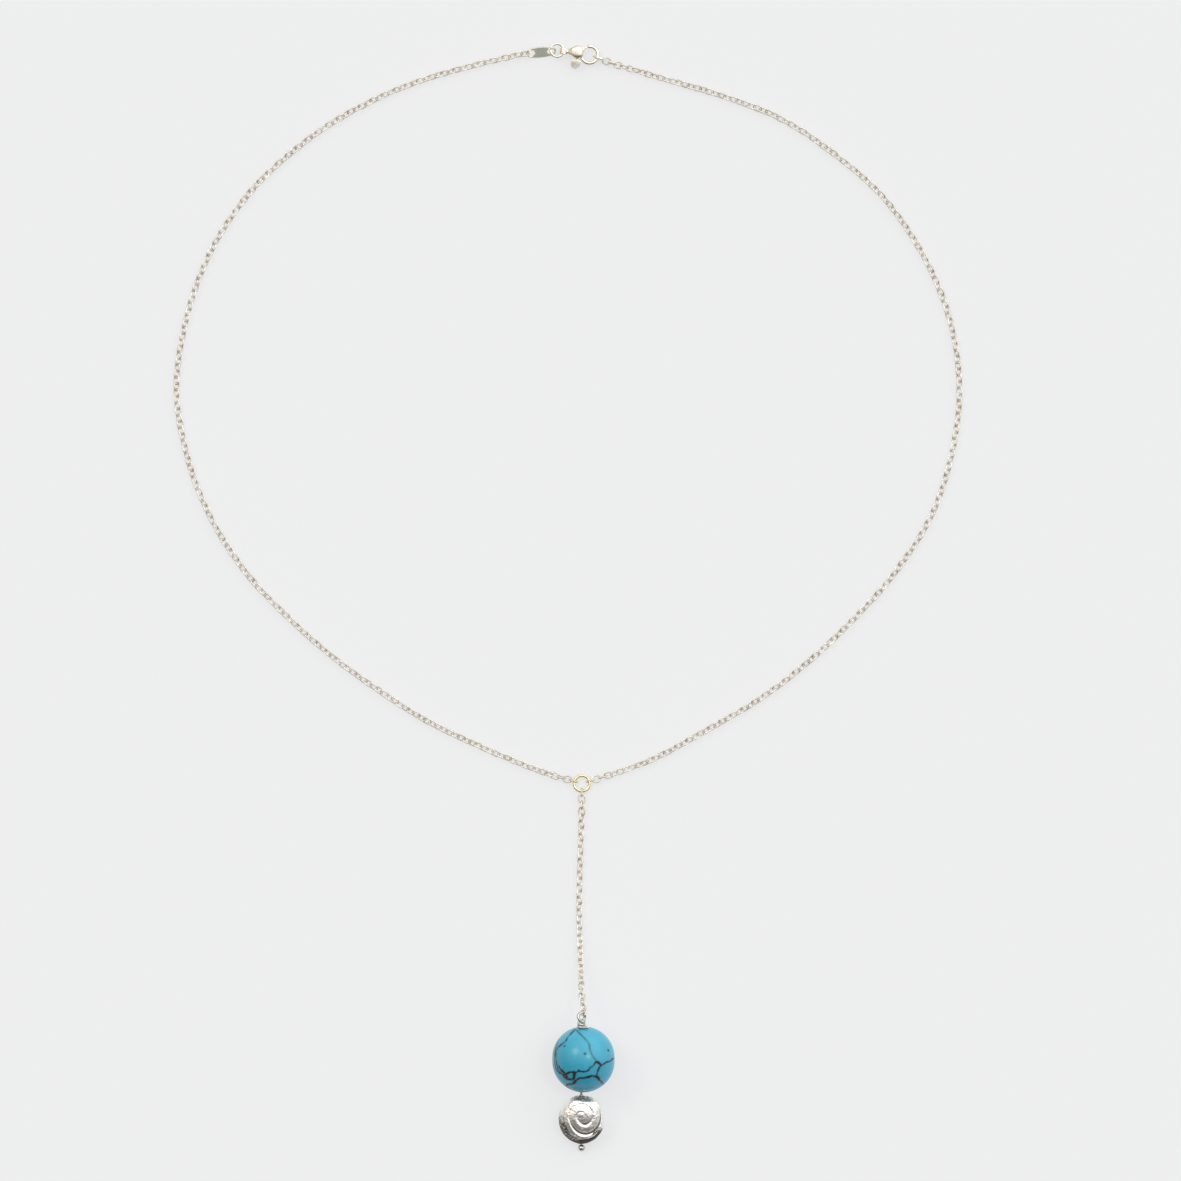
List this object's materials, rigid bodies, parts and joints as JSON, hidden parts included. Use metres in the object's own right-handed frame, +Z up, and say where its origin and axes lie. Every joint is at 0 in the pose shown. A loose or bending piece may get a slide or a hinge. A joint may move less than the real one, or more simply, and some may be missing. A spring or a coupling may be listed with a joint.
{
  "type": "necklace",
  "caption": "Y necklace laid flat: fine cable chain with a trigger clasp and a small tag, and from a ring at its front a short drop with a round stone bead above a spiral shell bead.",
  "frame": {"origin": "middle of the necklace's box, on the surface it lies on", "axes": "+Y from the beads towards the clasp, +X to the right seen from above, +Z up from the surface"},
  "size_m": [0.1532, 0.2152, 0.0123],
  "materials": {
    "chain_silver": "polished silver with a slight warm tint",
    "fitting_silver": "polished silver",
    "tag_silver": "matt silver",
    "pale_gold": "polished pale gold",
    "turquoise": "satin polish, blue with dark brown veins",
    "blackened_silver": "hammered silver, polished on the ridges and dark in the grooves"
  },
  "bodies": {
    "necklace": {"chain_left": "chain_silver", "chain_right": "chain_silver", "drop_chain": "chain_silver", "tag_link": "chain_silver", "clasp_link": "chain_silver", "y_link_left": "chain_silver", "y_link_right": "chain_silver", "y_ring": "pale_gold", "chain_tag": "tag_silver", "jump_ring": "fitting_silver", "end_ring": "fitting_silver", "clasp_body": "fitting_silver", "clasp_rivet": "fitting_silver", "head_pin": "fitting_silver", "turquoise_bead": "turquoise", "shell_bead": "blackened_silver"},
    "lever": {"clasp_lever": "fitting_silver"}
  },
  "joints": [
    {"name": "lever_pivot", "type": "hinge", "parent": "necklace", "child": "lever", "pos_m": [0.0017, 0.10581, 0.00106], "axis": [0, 0, -1], "range_deg": [0, 25], "stiffness_Nm_per_rad": 0.0005, "springref_deg": -8.59}
  ]
}
